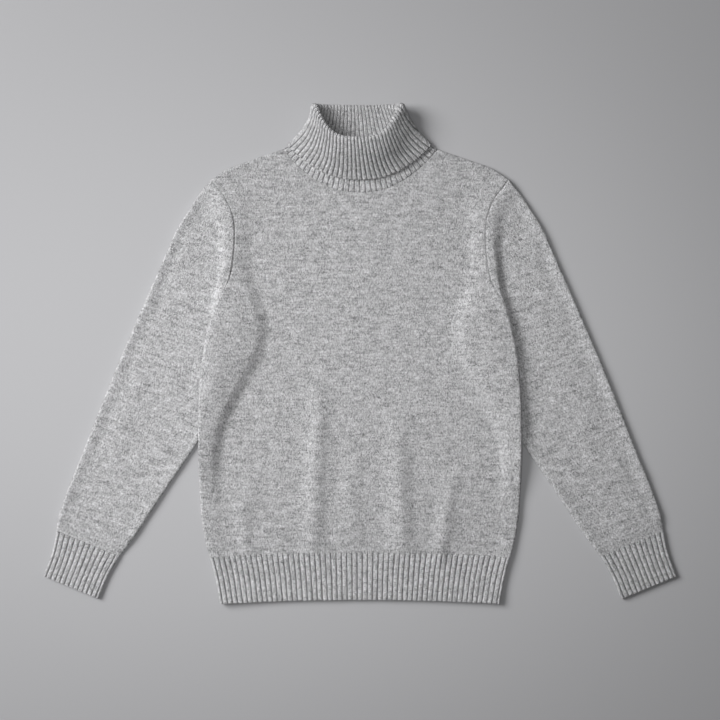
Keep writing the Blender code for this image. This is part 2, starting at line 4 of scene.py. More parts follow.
import bpy
import numpy as np
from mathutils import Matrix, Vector


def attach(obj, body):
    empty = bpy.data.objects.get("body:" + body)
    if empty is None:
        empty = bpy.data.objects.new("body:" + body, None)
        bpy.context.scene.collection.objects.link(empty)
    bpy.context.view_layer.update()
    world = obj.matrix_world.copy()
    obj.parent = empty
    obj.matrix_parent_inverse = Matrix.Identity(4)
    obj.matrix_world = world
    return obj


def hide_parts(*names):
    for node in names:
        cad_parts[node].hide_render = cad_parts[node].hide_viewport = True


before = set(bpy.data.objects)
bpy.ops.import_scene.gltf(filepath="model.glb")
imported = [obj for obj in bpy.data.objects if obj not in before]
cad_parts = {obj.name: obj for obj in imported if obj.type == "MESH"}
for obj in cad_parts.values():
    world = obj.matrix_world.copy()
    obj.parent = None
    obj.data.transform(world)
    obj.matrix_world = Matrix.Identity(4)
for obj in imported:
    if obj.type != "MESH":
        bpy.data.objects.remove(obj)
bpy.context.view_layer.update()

MM = 0.001
CENTRE_Y = 1.25         # the tables' heights are moved up by this, as in the frame

# Cloth, in millimetres
JERSEY_WALL = 1.9
RIB_WALL = 2.5
JERSEY_STACK = 6.4      # front and back lying on each other
RIB_STACK = 7.8
SEAM_GAP = 0.06
FOLD_REACH = 4.0        # how far a folded edge curves in from the outline
GRID = 3.0              # spacing of the jersey's points
TOP_FOLD = 4.4          # depth of the close rows at a panel's top
PANEL_FOOT = (0.0, 0.7, 1.5, 2.5, 4.0)      # distances of a panel's first rows from the hem's joint
PANEL_CLEAR = 6.0       # where its even rows start
FOLD_STEPS = (1.0, 0.66, 0.38, 0.17, 0.04, 0.0)     # points in a folded edge, as shares of its reach
CURVE_STEPS = 16        # points of a curve between two rows of its table
FAR = 99.0              # out of reach of a seam, and above all the cloth

# Body outline: half width at each height, up to the underarm
SIDE = [
    # height, half_width
    (-319.0, 232.5),
    (-300.0, 237.5),
    (-275.0, 242.5),
    (-245.0, 246.5),
    (-180.0, 249.0),
    (-120.0, 249.5),
    (-60.0, 248.0),
    (0.0, 242.0),
    (45.0, 233.0),
    (82.0, 221.0),
]

# Armhole seam, from the shoulder tip down to the underarm
ARMHOLE = [
    # half_width, height
    (230.0, 269.0),
    (221.0, 255.5),
    (209.0, 241.0),
    (197.0, 212.0),
    (194.5, 180.0),
    (197.5, 140.0),
    (203.0, 113.0),
    (211.0, 97.0),
    (221.0, 82.0),
]
UNDERARM_Y = 82.0
UNDERARM_MITRE = 18.0   # height over which the folded side opens to the armhole
SHOULDER_TIP = (230.0, 269.0)

# Shoulder seam, from the neck to the shoulder tip
SHOULDER = [
    # half_width, height
    (120.0, 316.0),
    (172.0, 298.0),
    (206.0, 285.0),
    (230.0, 269.0),
]

# Neckline
NECK_HALF = 120.0
NECK_SIDE_Y = 316.0
FRONT_NECK_DROP = 67.0
BACK_NECK_DROP = 15.0
NECK_CURVE = 2.2
NECK_MITRE = 7.0        # width over which the folded shoulder opens to the neckline
SHOULDER_TILT = 0.92    # distance from the shoulder's edge, per unit straight down

# The body's margins lie over the sleeves, and step down to a lower middle
MARGIN = [
    # height, shelf (inner end of the raised margin), foot (where the panel is down)
    (-387.0, 214.0, 190.0),
    (-319.0, 222.0, 204.0),
    (-289.0, 226.0, 208.0),
    (-205.0, 233.0, 213.0),
    (-150.0, 231.0, 212.0),
    (-119.0, 225.0, 206.0),
    (-64.0, 203.0, 180.0),
    (-21.0, 181.0, 156.0),
    (5.0, 167.0, 142.0),
    (35.0, 163.0, 138.0),
    (67.0, 167.0, 141.0),
    (111.0, 185.0, 158.0),
    (160.0, 189.0, 164.0),
    (238.0, 190.0, 163.0),
    (270.0, 196.0, 168.0),
    (300.0, 184.0, 152.0),
]
MARGIN_LIFT = [
    # height, lift (of the underside)
    (-245.0, 0.0),
    (-150.0, 13.6),
    (60.0, 13.6),
    (165.0, 10.2),
    (215.0, 6.8),
    (269.0, 3.0),
    (300.0, 1.2),
]
SHELF_SLOPE = 0.50      # share of the lift that is a gentle slope beside the step
SHELF_START = 8.0       # how far inside the foot that slope starts
SHELF_SPREAD = 2.8      # its width, in widths of the step
MARGIN_PUFF = [
    # height, puff (of the front over the back)
    (-387.0, 1.8),
    (-319.0, 2.6),
    (-290.0, 3.6),
    (-150.0, 3.0),
    (60.0, 1.6),
    (100.0, 0.0),
]

# Joint of the jersey and the hem rib, and the hem's lower edge
JOINT_CENTRE_Y = -308.5
JOINT_DROP = 7.5
JOINT_CURVE = 3.3
HEM_CENTRE_Y = -381.0
HEM_DROP = 6.0
HEM_LENGTH = 70.0       # from the joint to the free edge
HEM_SIDE = [
    # height, half_width
    (-387.0, 217.0),
    (-351.0, 224.0),
    (-319.0, 232.5),
]
HEM_LIFT = 1.2          # how far the hem's free edge stands off the floor
HEM_LIFT_START = 0.5    # share down the hem where that starts
HEM_LIFT_BUMPS = [
    # across, half_width, height: where it stands higher
    (-195.0, 45.0, 2.4),
    (180.0, 50.0, 1.0),
]
HEM_FOLD = 0.9          # share of the body's front folds that reaches the hem
HEM_BACK_FOLD = 0.8     # the same behind
HEM_RIPPLE = 1.2

# Sleeve outlines, for the +X side
SLEEVE_OUTER = [
    # across, height
    (230.0, 269.0),
    (250.0, 245.0),
    (267.0, 219.0),
    (283.0, 193.0),
    (300.0, 155.0),
    (348.0, 46.0),
    (390.0, -54.0),
    (429.0, -153.0),
    (449.0, -202.0),
    (466.0, -250.0),
    (470.0, -274.0),
]
SLEEVE_INNER = [
    # across, height (it tucks under the body and comes out again)
    (221.0, 82.0),
    (226.0, 66.0),
    (227.5, 50.0),
    (221.0, 36.0),
    (208.0, 20.0),
    (197.0, 3.0),
    (192.0, -20.0),
    (203.0, -52.0),
    (220.0, -86.0),
    (250.0, -136.0),
    (312.0, -228.0),
    (344.0, -277.0),
    (372.0, -314.0),
]
SLEEVE_RINGS = [
    # share of the outer line, share of the inner line
    (0.000, 0.000),
    (0.020, 0.016),
    (0.050, 0.034),
    (0.095, 0.055),
    (0.160, 0.080),
    (0.250, 0.102),
    (0.340, 0.130),
    (0.420, 0.172),
    (0.490, 0.225),
    (0.550, 0.300),
    (0.630, 0.420),
    (0.730, 0.575),
    (0.860, 0.780),
    (1.000, 1.000),
]
ARMHOLE_REACH = 0.25    # share of the outer line over which rings keep some of the armhole's curve
SLEEVE_ACROSS = 34      # points across a sleeve between its folded edges
SLEEVE_HEAD = (0.0, 0.8, 1.8, 3.0, 4.5)     # distances of the first rings from the armhole seam
SLEEVE_FOOT = (4.0, 2.4, 1.2, 0.5, 0.0)     # distances of the last rings from the cuff's joint
SLEEVE_CLEAR = 7.0      # where the even rings start and end
OUTER_PUFF = [
    # distance from the outer edge, half_width, height: how the front stands off the back
    (3.0, 9.0, 2.8),
    (20.0, 8.0, -1.2),
]
INNER_PUFF = [(6.0, 9.0, 2.2)]  # the same from the inner edge
CUFF_SWELL = (14.0, 12.0, 1.2)  # the same from the cuff's joint, where the rib gathers the sleeve
SLEEVE_RIPPLE = 1.8
SLEEVE_RIPPLE_TURN = 40.0       # degrees from the body's waves to the sleeves'
MITRE_SHARE = 0.05      # share of the inner line over which the underarm becomes a fold
HEAD_SHARE = 0.12       # share of the outer line over which folds and puff grow from the armhole
FOOT_SHARE = 0.05       # and over which they fade towards the cuff
SWELL_START = 4.0       # distances over which the swell grows from the joint and the two edges
SWELL_INNER = 20.0
SWELL_OUTER = 10.0
SLEEVE_TOP = (250.0, 165.0)     # middle of the sleeve's top: its wales run from there to the cuff

# Crease where the sleeve drops away from the armhole and the body's margin
CREASE = [
    # height, across (where the drop starts), run (length of the drop)
    (40.0, 229.0, 16.0),
    (82.0, 217.5, 14.0),
    (100.0, 213.5, 13.0),
    (130.0, 208.5, 13.0),
    (170.0, 204.0, 18.0),
    (205.0, 204.0, 25.0),
    (222.0, 206.0, 30.0),
    (240.0, 214.0, 34.0),
    (269.0, 236.0, 46.0),
]
TUCK_TOP = 82.0
TUCK_FOOT = 50.0
UNDER_EDGE_SLOPE = 1.4  # how steeply the sleeve rises again beside the body's edge

# Cuffs, for the +X side
CUFF_OUTER = [(470.0, -274.0), (477.5, -309.0), (490.5, -344.0)]
CUFF_INNER = [(372.0, -314.0), (390.0, -346.0), (404.0, -380.0)]
CUFF_LENGTH = 71.0

# Collar: the stand's middle surface from the neckline to the top, and the turned-down flap's distance
STAND = [
    # along, half_width, side_y, side_z, front_y, front_z, back_y, back_z, squareness, curve, flap
    (0.00, 119.4, 316.0, 3.7, 249.0, 5.20, 301.0, 1.60, 60.0, 2.2, 3.0),
    (0.07, 115.5, 318.0, 3.8, 255.0, 5.30, 306.5, 1.65, 44.0, 2.2, 3.0),
    (0.24, 109.5, 320.5, 5.2, 269.5, 6.6, 323.0, 5.00, 18.0, 2.25, 3.0),
    (0.50, 86.0, 341.0, 12.5, 290.0, 18.4, 344.0, 6.80, 6.0, 2.4, 4.7),
    (0.76, 70.0, 360.0, 20.5, 310.0, 33.8, 364.0, 7.90, 4.0, 2.9, 5.9),
    (1.00, 61.5, 376.0, 26.0, 328.5, 40.0, 379.0, 10.0, 3.0, 3.5, 7.8),
]
FLAP = 10               # column of the flap's distance
TOP_LEAN = 3.0          # how far the collar's top leans to the left
SIDE_ROLL = 0.4         # how much fuller the roll is at its sides
FLAP_END = 0.24         # share of the stand's height where the flap ends
FLAP_TWIST = 0.5        # ribs by which the flap's edge is shifted round from the stand
STAND_POINTS = 160      # points on a quarter of the stand's outline
STAND_ROWS = 24
RIM_ROWS = 8
FLAP_ROWS = 22

# Ribs
RIB_POINTS = 8          # points across each rib
SECTION_POINTS = 12     # points round a rib's folded edge
RIB_HEAD = (0.0, 0.012, 0.03, 0.06)     # shares down a rib of its first rows
RIB_EVEN = (0.1, 0.97)  # where the even rows start and end
RIB_FOOT = (0.985, 1.0)
HEM_RIBS = 57
CUFF_RIBS = 13          # on each side of a cuff
COLLAR_RIBS = 60
HEM_EVEN_ROWS = 20
CUFF_EVEN_ROWS = 19
RIB_DEPTH = 1.4
RIB_ROUNDNESS = 0.38    # the lower, the flatter the ribs and the narrower the grooves
COLLAR_RIB_DEPTH = 1.45 # the collar has ribs on both faces
COLLAR_GROOVE_WALL = 0.6
STAND_DEPTH = 0.4       # share of the collar's rib depth on the stand, which is stretched
RIB_FADE = 1.6          # length over which the ribs start at a joint
RIB_COURSE = 2.9        # height of a stitch in the rib
EDGE_SCALLOP = 0.8      # how far each rib stands out at a free edge
FLAP_SCALLOP = 0.3
SCALLOP_REACH = 3.0     # how far the scallops reach into the rib
FLAP_HEM = 0.6          # share by which the flap's very edge is filled in between its ribs
FLAP_HEM_REACH = 1.6

# Jersey stitches
WALE = 2.8
COURSE = 2.1
SEAM_DIP = 0.95
SEAM_WIDTH = 1.5
SEAM_BEAD = 0.5         # the cloth stands a little proud beside the armhole seam, on the body's side
SEAM_BEAD_PLACE = 3.6
SEAM_BEAD_WIDTH = 1.8
BACK_SEAM = 0.6         # share of the seam's depth underneath

# Soft folds of the body: ridges and troughs with tapered ends
FRONT_FOLDS = [
    # x0, y0, x1, y1, half_width, height
    (-66.0, 10.0, -69.0, -350.0, 14.5, 7.2),
    (-14.0, -110.0, -12.0, -340.0, 13.5, 3.1),
    (60.0, -60.0, 65.0, -345.0, 15.5, 7.8),
    (152.0, -160.0, 114.0, -345.0, 12.5, 5.8),
    (-186.0, -150.0, -172.0, -345.0, 12.0, 2.8),
    (-122.0, -220.0, -112.0, -345.0, 13.0, 1.6),
    (98.0, -200.0, 90.0, -340.0, 11.0, 1.4),
    (-216.0, 150.0, -227.0, -120.0, 23.0, 3.8),
]
BACK_FOLDS = [
    (-92.0, -60.0, -84.0, -350.0, 12.0, 1.6),
    (38.0, -140.0, 44.0, -345.0, 13.0, 1.3),
    (128.0, -170.0, 108.0, -340.0, 11.0, 1.5),
    (-160.0, -200.0, -150.0, -330.0, 10.0, 1.0),
    (-30.0, 210.0, -18.0, 60.0, 16.0, 1.0),
    (70.0, 230.0, 52.0, 90.0, 14.0, 0.9),
]
LEFT_SLEEVE_FOLDS = [
    # the same for a sleeve, drawn on the +X side
    (238.0, 262.0, 250.0, 165.0, 8.5, -1.8),
    (262.0, 235.0, 278.0, 130.0, 10.0, 1.5),
    (330.0, -10.0, 372.0, -130.0, 14.0, 1.4),
    (300.0, -70.0, 352.0, -190.0, 12.0, -1.0),
    (432.0, -215.0, 447.0, -270.0, 9.0, 1.8),
    (385.0, -230.0, 418.0, -300.0, 12.0, 1.3),
    (262.0, 40.0, 292.0, -60.0, 13.0, 0.9),
]
RIGHT_SLEEVE_FOLDS = [
    (239.0, 240.0, 250.0, 165.0, 8.0, -0.8),
    (262.0, 225.0, 276.0, 130.0, 10.0, 0.8),
    (322.0, -30.0, 360.0, -140.0, 15.0, 1.2),
    (308.0, -90.0, 356.0, -200.0, 12.0, -0.9),
    (428.0, -205.0, 444.0, -268.0, 10.0, 1.6),
    (392.0, -240.0, 424.0, -302.0, 11.0, 1.2),
]
FOLD_BOW = 0.008        # share of its length by which a fold wavers to each side
FOLD_START = 0.45       # share of its length over which a fold rises from nothing
FOLD_END = 0.25         # and over which it fades out
BACK_FOLD_SHIFT = (12.0, 30.0)  # a sleeve's folds lie elsewhere underneath
RIPPLES = [
    # wavelength, heading in degrees, phase, height: slight unevenness of the laid cloth
    (46.0, 20.0, 0.4, 0.10),
    (61.0, 115.0, 2.1, 0.12),
    (83.0, 64.0, 4.0, 0.14),
    (37.0, 151.0, 1.2, 0.07),
    (29.0, 88.0, 5.1, 0.05),
]
RIPPLE_WARP = 1.3       # how uneven the waves are
RIPPLE_WARP_RATE = 0.37
LOWER_RIPPLE = (-20.0, -240.0)  # heights between which the body's waves grow to double


# ---------------------------------------------------------------- curves and tables

def curve_through(points):
    """Even-speed Catmull-Rom curve through the points, as a dense polyline."""
    pts = [np.array(p, dtype=float) for p in points]
    pts = [2 * pts[0] - pts[1]] + pts + [2 * pts[-1] - pts[-2]]
    dense = []
    for a, b, c, d in zip(pts, pts[1:], pts[2:], pts[3:]):
        here = np.linalg.norm(c - b)
        tangent_b = (c - a) * here / (here + np.linalg.norm(b - a))
        tangent_c = (d - b) * here / (here + np.linalg.norm(d - c))
        for step in range(CURVE_STEPS):
            t = step / CURVE_STEPS
            dense.append(
                (2 * t**3 - 3 * t**2 + 1) * b
                + (t**3 - 2 * t**2 + t) * tangent_b
                + (3 * t**2 - 2 * t**3) * c
                + (t**3 - t**2) * tangent_c
            )
    dense.append(pts[-2])
    return np.array(dense)


def lengths(line):
    """Length of a polyline from its start to each of its points."""
    steps = np.linalg.norm(np.diff(line, axis=0), axis=1)
    return np.concatenate([[0.0], np.cumsum(steps)])


def along(line, shares):
    """Points at shares of a polyline's length."""
    reach = lengths(line)
    place = np.asarray(shares) * reach[-1]
    return np.stack([np.interp(place, reach, line[:, axis]) for axis in range(line.shape[1])], axis=-1)


def column(rows, index, keys):
    """A table's column at the keys, as a smooth curve through its rows."""
    dense = curve_through([(row[0], row[index]) for row in rows])
    return np.interp(keys, dense[:, 0], dense[:, 1])


def ease(share):
    """Smooth step from 0 to 1."""
    share = np.clip(share, 0.0, 1.0)
    return share * share * (3.0 - 2.0 * share)


def mix(first, second, share):
    """Value between two others."""
    return first + (second - first) * share


def bell(distance, width):
    """Bell curve of height 1."""
    return np.exp(-((distance / width) ** 2))


def with_bumps(height, distance, bumps):
    """Height with bell-shaped bumps added: each has a place, a half width and a height."""
    for place, half_width, rise in bumps:
        height = height + rise * bell(distance - place, half_width)
    return height


def rounded(distance):
    """Height share of a folded edge at a distance from its outline."""
    short = np.clip(1.0 - distance / FOLD_REACH, 0.0, 1.0)
    return np.sqrt(1.0 - short * short)


def steps_between(first, last, spacing):
    """Even steps of about the given spacing, with both ends."""
    count = max(2, int(round(abs(last - first) / spacing)) + 1)
    return np.linspace(first, last, count)


ARMHOLE_LINE = curve_through(ARMHOLE)
SHOULDER_LINE = curve_through(SHOULDER)
OUTER_LINE = curve_through(SLEEVE_OUTER)
INNER_LINE = curve_through(SLEEVE_INNER)
CUFF_OUTER_LINE = curve_through(CUFF_OUTER)
CUFF_INNER_LINE = curve_through(CUFF_INNER)
SIDE_LINE = curve_through([(half, height) for height, half in SIDE])


# ---------------------------------------------------------------- heights of the laid cloth

def fold_height(x, y, folds):
    """Sum of the folds' ridges and troughs at plan points."""
    total = np.zeros_like(x)
    for x0, y0, x1, y1, half_width, height in folds:
        length = math.hypot(x1 - x0, y1 - y0)
        to_x = (x1 - x0) / length
        to_y = (y1 - y0) / length
        run = ((x - x0) * to_x + (y - y0) * to_y) / length
        bow = FOLD_BOW * length * np.sin(2.0 * math.pi * np.clip(run, 0.0, 1.0))
        bow = bow * math.copysign(1.0, x0)
        across = (x - x0) * to_y - (y - y0) * to_x - bow
        rise = height * bell(across, half_width)
        total += rise * ease(run / FOLD_START) * ease((1.0 - run) / FOLD_END)
    return total


def ripple(x, y, turn=0.0):
    """Slight waves of cloth that isn't pressed flat."""
    total = np.zeros_like(x)
    for wavelength, heading, phase, height in RIPPLES:
        angle = math.radians(heading + turn)
        wave = (x * math.cos(angle) + y * math.sin(angle)) * 2.0 * math.pi / wavelength
        warp = RIPPLE_WARP * np.sin(wave * RIPPLE_WARP_RATE + phase + turn)
        total += height * np.sin(wave + phase + warp)
    return total


def straight(rows, y):
    """A two-column table's value at y, straight from row to row."""
    return np.interp(y, [row[0] for row in rows], [row[1] for row in rows])


def margin_lift(y):
    """Lift of the body's margin, with a soft start at its foot."""
    foot, top = MARGIN_LIFT[:2]
    lift = straight(MARGIN_LIFT, y)
    return np.where(y < top[0], top[1] * ease((y - foot[0]) / (top[0] - foot[0])), lift)


def body_level(x, y):
    """Lift of the body's underside, and puff of the front over the back."""
    shelf = column(MARGIN, 1, y)
    foot = column(MARGIN, 2, y)
    past_foot = np.abs(x) - foot
    step = ease(past_foot / (shelf - foot))
    slope = ease((past_foot + SHELF_START) / (shelf - foot) / SHELF_SPREAD)
    share = mix(step, slope, SHELF_SLOPE)
    return margin_lift(y) * share, straight(MARGIN_PUFF, y) * share


def side_x(y):
    """Half width of the body's outline, and of the armhole above the underarm."""
    lower = np.interp(y, SIDE_LINE[:, 1], SIDE_LINE[:, 0])
    upper = np.interp(y, ARMHOLE_LINE[::-1, 1], ARMHOLE_LINE[::-1, 0])
    return np.where(y < UNDERARM_Y, lower, upper)


def top_y(across, drop):
    """Height of a panel's top edge: the neckline, and then the shoulder."""
    share = np.clip(across / NECK_HALF, 0.0, 1.0)
    neck = NECK_SIDE_Y - drop * (1.0 - share**NECK_CURVE)
    shoulder = np.interp(across, SHOULDER_LINE[:, 0], SHOULDER_LINE[:, 1])
    return np.where(across < NECK_HALF, neck, shoulder)


def joint_y(across):
    """Height of the joint of the jersey and the hem rib."""
    share = np.clip(np.abs(across) / SIDE[0][1], 0.0, 1.0)
    return JOINT_CENTRE_Y - JOINT_DROP * share**JOINT_CURVE


def body_roll(x, y, drop):
    """Share of the full height at the folded sides and shoulders."""
    across = np.abs(x)
    rise = np.maximum(y - UNDERARM_Y, 0.0) * FOLD_REACH / UNDERARM_MITRE
    side = rounded(np.hypot(np.maximum(side_x(y) - across, 0.0), rise))
    into_neck = np.maximum(NECK_HALF - across, 0.0) * FOLD_REACH / NECK_MITRE
    down = np.maximum(top_y(across, drop) - y, 0.0) * SHOULDER_TILT
    return side * rounded(np.hypot(into_neck, down))


def armhole_seam(x, y):
    """Depth of the seam along the armhole, less the bead beside it."""
    across = np.abs(x)
    armhole = np.where(y > UNDERARM_Y, side_x(y) - across, FAR)
    bead = SEAM_BEAD * bell(armhole - SEAM_BEAD_PLACE, SEAM_BEAD_WIDTH)
    return SEAM_DIP * bell(armhole, SEAM_WIDTH) - bead


def laid(low, high, roll, front):
    """Height of the front or back skin of cloth that lies between two levels."""
    middle = (low + high) / 2.0
    half = (high - low) / 2.0 * roll
    lip = SEAM_GAP / 2.0 * (1.0 - roll)
    return middle + half + lip if front else middle - half - lip


# ---------------------------------------------------------------- pieces

def grid_normals(grid, closed):
    """Unit normals of a grid of points; columns wrap round on a tube."""
    down = np.gradient(grid, axis=0)
    if closed:
        round_ = np.roll(grid, -1, axis=1) - np.roll(grid, 1, axis=1)
    else:
        round_ = np.gradient(grid, axis=1)
    normal = np.cross(round_, down)
    size = np.linalg.norm(normal, axis=2, keepdims=True)
    return normal / np.maximum(size, 1e-9)


def outward(normal, grid, closed, front):
    """Normals turned, where they need it, to point out of the cloth."""
    if closed:
        good = np.sum(normal * (grid - grid.mean(axis=1, keepdims=True))) > 0.0
    else:
        good = (np.mean(normal[..., 2]) > 0.0) == front
    return normal if good else -normal


def inside_out(points, faces):
    """Whether the faces of a closed mesh turn inwards."""
    first, second, third, fourth = (points[faces[:, index]] for index in range(4))
    volume = np.sum(first * np.cross(second, third)) + np.sum(first * np.cross(third, fourth))
    return volume < 0.0


def put(name, data):
    """New object in the scene."""
    item = bpy.data.objects.new(name, data)
    bpy.context.scene.collection.objects.link(item)
    return item


def shell(name, outer, inner, knit, closed, material):
    """Object of a closed wall between two grids, with stitch coordinates for each corner."""
    rows, columns = outer.shape[:2]
    points = np.concatenate([outer.reshape(-1, 3), inner.reshape(-1, 3)])
    points = (points + np.array([0.0, CENTRE_Y, 0.0])) * MM
    ids = np.arange(rows * columns).reshape(rows, columns)
    wide = np.concatenate([ids, ids[:, :1]], axis=1) if closed else ids
    quads = np.stack([wide[:-1, :-1], wide[:-1, 1:], wide[1:, 1:], wide[1:, :-1]], axis=-1)
    quads = quads.reshape(-1, 4)
    marks = np.stack([knit[:-1, :-1], knit[:-1, 1:], knit[1:, 1:], knit[1:, :-1]], axis=-2)
    marks = marks.reshape(-1, 4, 2)
    other = rows * columns
    faces = [quads, quads[:, ::-1] + other]
    corners = [marks, marks[:, ::-1]]
    edges = [
        (wide[0, :-1], wide[0, 1:], knit[0, :-1], knit[0, 1:], True),
        (wide[-1, :-1], wide[-1, 1:], knit[-1, :-1], knit[-1, 1:], False),
    ]
    if not closed:
        edges.append((wide[:-1, 0], wide[1:, 0], knit[:-1, 0], knit[1:, 0], False))
        edges.append((wide[:-1, -1], wide[1:, -1], knit[:-1, -1], knit[1:, -1], True))
    for first, second, mark, next_mark, turn in edges:
        quad = np.stack([first, first + other, second + other, second], axis=-1)
        corner = np.stack([mark, mark, next_mark, next_mark], axis=-2)
        faces.append(quad if turn else quad[:, ::-1])
        corners.append(corner if turn else corner[:, ::-1])
    faces = np.concatenate(faces)
    corners = np.concatenate(corners)
    if inside_out(points, faces):
        faces = faces[:, ::-1]
        corners = corners[:, ::-1]
    mesh = bpy.data.meshes.new(name)
    mesh.from_pydata(points.tolist(), [], faces.tolist())
    layer = mesh.uv_layers.new(name="stitches")
    values = np.ascontiguousarray(corners.reshape(-1), dtype=np.float32)
    layer.uv.foreach_set("vector", values)
    mesh.materials.append(material)
    mesh.polygons.foreach_set("use_smooth", np.arange(len(faces)) < 2 * len(quads))
    return put(name, mesh)


def fit_in(piece, node):
    """Hang the piece on the root, and hide the CAD node that it stands for."""
    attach(piece, "root")
    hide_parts(node)


def half_shares():
    """Shares across half a panel: even, with one at the neck corner and close ones in the fold."""
    corner = NECK_HALF / SHOULDER_TIP[0]
    fold = FOLD_REACH / SIDE[0][1]
    near = steps_between(0.0, corner, GRID / SIDE[0][1])
    far = steps_between(corner, 1.0 - fold, GRID / SIDE[0][1])[1:]
    return np.concatenate([near, far[:-1], 1.0 - fold * np.array(FOLD_STEPS)])


def body_panel(name, front, material):
    """Front or back of the body, from the hem's joint to the neckline and the shoulders."""
    drop = FRONT_NECK_DROP if front else BACK_NECK_DROP
    half = half_shares()
    shares = np.concatenate([-half[:0:-1], half])
    whole = SHOULDER_TIP[1] - SIDE[0][0]
    fold = TOP_FOLD / whole
    start = np.array(PANEL_FOOT) / whole
    even = steps_between(PANEL_CLEAR / whole, 1.0 - fold, GRID / whole)[:-1]
    rows = np.concatenate([start, even, 1.0 - fold * np.array(FOLD_STEPS)])
    s, t = np.meshgrid(shares, rows)
    edge = side_x(mix(SIDE[0][0], SHOULDER_TIP[1], t))
    x = s * edge
    low_y = joint_y(s * SIDE[0][1]) + SEAM_GAP / 2.0
    y = mix(low_y, top_y(np.abs(s) * SHOULDER_TIP[0], drop), t)
    lift, puff = body_level(x, y)
    roll = body_roll(x, y, drop)
    z = laid(lift, lift + JERSEY_STACK + puff, roll, front)
    seam = armhole_seam(x, y)
    if front:
        upper, lower = LOWER_RIPPLE
        waves = ripple(x, y) * (1.0 + ease((upper - y) / (upper - lower)))
        z += (fold_height(x, y, FRONT_FOLDS) + waves - seam) * roll
    else:
        folds = np.maximum(fold_height(x, y, BACK_FOLDS), 0.0)
        z += (folds + np.maximum(seam, 0.0) * BACK_SEAM) * roll
    grid = np.stack([x, y, z], axis=-1)
    normal = grid_normals(grid, False)
    facing = 1.0 if front else -1.0     # each point's normal is turned by itself
    normal *= np.where(normal[..., 2:] * facing < 0.0, -1.0, 1.0)
    knit = np.stack([x / WALE, y / COURSE], axis=-1)
    return shell(name, grid, grid - normal * JERSEY_WALL, knit, False, material)


def body_underside(x, y):
    """Highest that a sleeve can be under the body, or beside its edge."""
    lift, puff = body_level(x, y)
    roll = rounded(np.maximum(side_x(y) - x, 0.0))
    under = laid(lift, lift + JERSEY_STACK + puff, roll, False)
    beside = under - SEAM_GAP + np.maximum(x - side_x(y), 0.0) * UNDER_EDGE_SLOPE
    return np.where(y < UNDERARM_Y, beside, FAR)


def sleeve_level(x, y):
    """Lift of the sleeve's underside: it starts at the body's level and drops at the crease."""
    drop = ease((x - column(CREASE, 1, y)) / column(CREASE, 2, y))
    tuck = ease((y - TUCK_FOOT) / (TUCK_TOP - TUCK_FOOT))
    return margin_lift(y) * (1.0 - drop) * tuck


def cuff_gap():
    """Half the gap at a cuff's joint, from the joint's line towards the cuff."""
    across = INNER_LINE[-1] - OUTER_LINE[-1]
    across = across / np.linalg.norm(across)
    return np.array([-across[1], across[0]]) * SEAM_GAP / 2.0


def sleeve_plan():
    """Plan of the +X sleeve: shares down its two outlines, shares across, widths, and points."""
    length = lengths(OUTER_LINE)[-1]
    head = np.array(SLEEVE_HEAD) / length
    foot = 1.0 - np.array(SLEEVE_FOOT) / length
    even = steps_between(SLEEVE_CLEAR / length, 1.0 - SLEEVE_CLEAR / length, GRID / length)
    down = np.concatenate([head, even, foot])
    inner_down = column(SLEEVE_RINGS, 1, down)
    inner_down[0] = 0.0
    inner_down[-1] = 1.0
    outer = along(OUTER_LINE, down)[:, None, :]
    inner = along(INNER_LINE, inner_down)[:, None, :]
    width = np.linalg.norm(inner - outer, axis=2)
    edge = FOLD_REACH / width
    flat = np.linspace(0.0, 1.0, SLEEVE_ACROSS)[None, :]
    steps = np.array(FOLD_STEPS)[None, :]
    across = [edge * steps[:, :0:-1], edge + (1.0 - 2.0 * edge) * flat, 1.0 - edge * steps[:, 1:]]
    across = np.concatenate(across, axis=1)
    bulge = ((1.0 - np.minimum(down / ARMHOLE_REACH, 1.0)) ** 2)[:, None, None]
    chord = mix(ARMHOLE_LINE[0], ARMHOLE_LINE[-1], across[..., None])
    curve = along(ARMHOLE_LINE, across) - chord
    plan = mix(outer, inner, across[..., None]) + curve * bulge
    plan -= cuff_gap() * (down[:, None, None] == 1.0)
    return down, inner_down, across, width, plan


def sleeve_stitches(grid, sign):
    """Stitch coordinates of a sleeve: its wales run down its length."""
    axis = INNER_LINE[-1] + OUTER_LINE[-1] - 2.0 * np.array(SLEEVE_TOP)
    axis = axis / np.linalg.norm(axis)
    course = (grid[..., 0] * sign * axis[0] + grid[..., 1] * axis[1]) / COURSE
    wale = (grid[..., 0] * sign * -axis[1] + grid[..., 1] * axis[0]) / WALE
    knit = np.stack([wale, course], axis=-1)
    return np.concatenate([knit, knit[:, :1]], axis=1)


